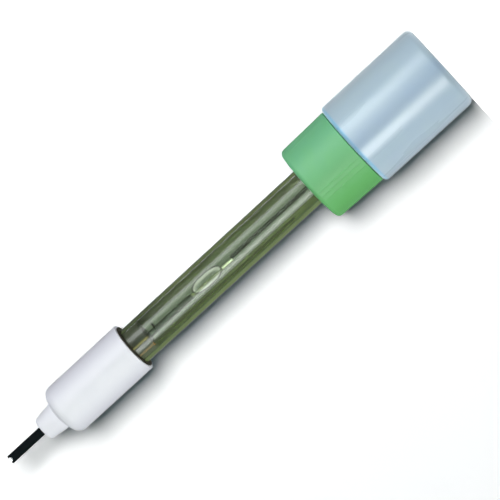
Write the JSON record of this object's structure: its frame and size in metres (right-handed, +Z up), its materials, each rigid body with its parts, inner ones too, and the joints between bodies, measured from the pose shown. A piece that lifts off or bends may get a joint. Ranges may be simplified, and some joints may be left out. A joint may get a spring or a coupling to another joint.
{
  "type": "ph electrode",
  "caption": "Glass-bulb pH electrode with a clear shaft, white cap and cable stub, kept in a translucent storage bottle with a green screw collar.",
  "frame": {"origin": "middle of the bottle's flat base, which is the lowest face", "axes": "+Z up along the shaft, from the bottle to the cable; the reference wire lies towards -X"},
  "size_m": [0.0276, 0.0276, 0.1684],
  "materials": {
    "bottle_plastic": "translucent pale blue, softly polished",
    "collar_plastic": "satin green",
    "black_rubber": "matt",
    "washer_plastic": "natural white",
    "shaft_plastic": "clear, polished",
    "gasket_rubber": "dark olive, matt",
    "cap_plastic": "white, satin gloss",
    "relief_plastic": "white, soft",
    "jacket_plastic": "black, satin",
    "braid_metal": "tinned copper weave",
    "insulation_plastic": "milky",
    "core_metal": "bare copper",
    "ferrule_metal": "bare",
    "stem_glass": "clear",
    "bulb_glass": "clear, blown",
    "plug_rubber": "matt",
    "junction_ceramic": "porous",
    "buffer_liquid": "clear liquid",
    "stopper_rubber": "matt",
    "coated_silver": "dark chloride coating",
    "bright_silver": "bright",
    "sleeve_plastic": "dark, satin",
    "gold_lead": "gilt",
    "olive_gel": "clear olive gel",
    "coated_reference": "dark chloride coating",
    "copper_lead": "bare copper",
    "clear_potting": "clear resin"
  },
  "bodies": {
    "bottle": {"storage_bottle": "bottle_plastic"},
    "seal": {"seal_ring": "black_rubber", "seal_washer": "washer_plastic"},
    "collar": {"screw_collar": "collar_plastic"},
    "electrode": {"body_tube": "shaft_plastic", "cap_gasket": "gasket_rubber", "top_cap": "cap_plastic", "strain_relief": "relief_plastic", "cable_jacket": "jacket_plastic", "cable_braid": "braid_metal", "cable_insulation": "insulation_plastic", "cable_core": "core_metal", "crimp_ferrule": "ferrule_metal", "glass_stem": "stem_glass", "sensing_bulb": "bulb_glass", "stem_seal": "plug_rubber", "ceramic_junction": "junction_ceramic", "inner_buffer": "buffer_liquid", "stem_stopper": "stopper_rubber", "measuring_element": "coated_silver", "measuring_wire": "bright_silver", "wire_sleeve": "sleeve_plastic", "measuring_lead": "gold_lead", "reference_gel": "olive_gel", "reference_element": "coated_reference", "reference_lead": "copper_lead", "potting_plug": "clear_potting"}
  },
  "joints": [
    {"name": "collar_lift", "type": "slide", "parent": "bottle", "child": "seal", "axis": [0, 0, 1], "range_m": [0, 0.0075]},
    {"name": "collar_turn", "type": "hinge", "parent": "seal", "child": "collar", "pos_m": [0, 0, 0.045], "axis": [0, 0, 1], "range_deg": [0, 901]},
    {"name": "electrode_lift", "type": "slide", "parent": "seal", "child": "electrode", "axis": [0, 0, 1], "range_m": [-0.004, 0.065]}
  ],
  "couplings": [
    {"joint": "collar_turn", "follows": "collar_lift", "rad_per_m": 2094.4}
  ]
}
